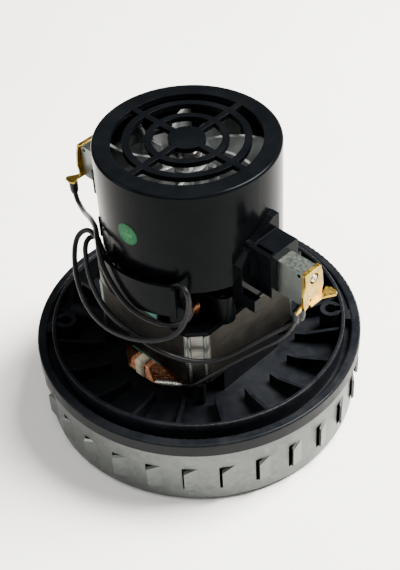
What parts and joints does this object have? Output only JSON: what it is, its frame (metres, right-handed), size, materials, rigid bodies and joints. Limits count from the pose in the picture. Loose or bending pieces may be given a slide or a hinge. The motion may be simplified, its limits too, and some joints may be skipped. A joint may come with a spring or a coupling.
{
  "type": "vacuum motor unit",
  "caption": "Vacuum cleaner motor: louvred sheet drum with impeller, moulded flange, laminated field and coils, rotor on ball bearings, sprung brushes, fan cover with grille.",
  "frame": {"origin": "on the rotor's axis, at the drum's lower face", "axes": "+Z along the rotor's axis, away from the air inlet; the brushes lie along X, +X is the right brush"},
  "size_m": [0.142, 0.142, 0.137],
  "materials": {
    "drum_zinc": "galvanised sheet, satin",
    "flange_black": "black moulded, satin",
    "stack_steel": "dark laminations with bright weld runs",
    "bearing_steel": "ground",
    "coil_copper": "enamelled copper wire",
    "insulator_green": "teal moulded",
    "tape_cream": "woven tape",
    "splice_tin": "tinned",
    "shaft_steel": "ground",
    "rotor_steel": "turned laminations",
    "winding_varnish": "red-brown varnished copper",
    "commutator_copper": "turned copper",
    "hub_resin": "moulded resin",
    "impeller_aluminium": "mill finish",
    "steel_zinc": "zinc plated",
    "fan_white": "pale moulded",
    "cover_black": "black moulded, glossy",
    "holder_steel": "plated sheet",
    "terminal_brass": "stamped sheet",
    "brush_carbon": "pressed carbon",
    "spring_steel": "drawn wire",
    "lead_black": "extruded insulation",
    "sticker_paper": "pale green paper"
  },
  "bodies": {
    "motor": {"blower_drum": "drum_zinc", "base_flange": "flange_black", "stator_core": "stack_steel", "lower_bearing_outer_ring": "bearing_steel", "lower_bearing_balls": "bearing_steel", "upper_bearing_outer_ring": "bearing_steel", "upper_bearing_balls": "bearing_steel", "front_field_coil": "coil_copper", "rear_field_coil": "coil_copper", "front_coil_insulator": "insulator_green", "rear_coil_insulator": "insulator_green", "coil_tape": "tape_cream", "crimp_splice": "splice_tin", "fan_cover": "cover_black", "upper_bearing_bracket": "steel_zinc", "bracket_screws": "steel_zinc", "stack_screws": "steel_zinc", "brush_holder_right": "holder_steel", "brush_holder_left": "holder_steel", "brush_terminal_right": "terminal_brass", "brush_terminal_left": "terminal_brass", "terminal_rivet_right": "terminal_brass", "terminal_rivet_left": "terminal_brass", "brush_spring_right": "spring_steel", "brush_spring_left": "spring_steel", "inspection_sticker": "sticker_paper", "left_brush_lead": "lead_black", "loop_lead": "lead_black", "right_brush_lead": "lead_black", "field_lead": "lead_black"},
    "rotor": {"rotor_shaft": "shaft_steel", "armature_core": "rotor_steel", "armature_winding": "winding_varnish", "commutator": "commutator_copper", "commutator_hub": "hub_resin", "rotor_spacers": "steel_zinc", "impeller_back_plate": "impeller_aluminium", "impeller_front_plate": "impeller_aluminium", "impeller_blades": "impeller_aluminium", "impeller_washers": "steel_zinc", "impeller_nut": "steel_zinc", "cooling_fan": "fan_white", "fan_nut": "steel_zinc", "lower_bearing_inner_ring": "bearing_steel", "upper_bearing_inner_ring": "bearing_steel"},
    "right_brush": {"carbon_brush_right": "brush_carbon"},
    "left_brush": {"carbon_brush_left": "brush_carbon"}
  },
  "joints": [
    {"name": "rotor_spin", "type": "hinge", "parent": "motor", "child": "rotor", "pos_m": [0, 0, 0], "axis": [0, 0, 1], "continuous": true},
    {"name": "right_brush_slide", "type": "slide", "parent": "motor", "child": "right_brush", "axis": [1, 0, 0], "range_m": [0, 0.005], "stiffness_N_per_m": 150, "springref_m": -0.01, "deforming": ["brush_spring_right"]},
    {"name": "left_brush_slide", "type": "slide", "parent": "motor", "child": "left_brush", "axis": [-1, 0, 0], "range_m": [0, 0.005], "stiffness_N_per_m": 150, "springref_m": -0.01, "deforming": ["brush_spring_left"]}
  ]
}
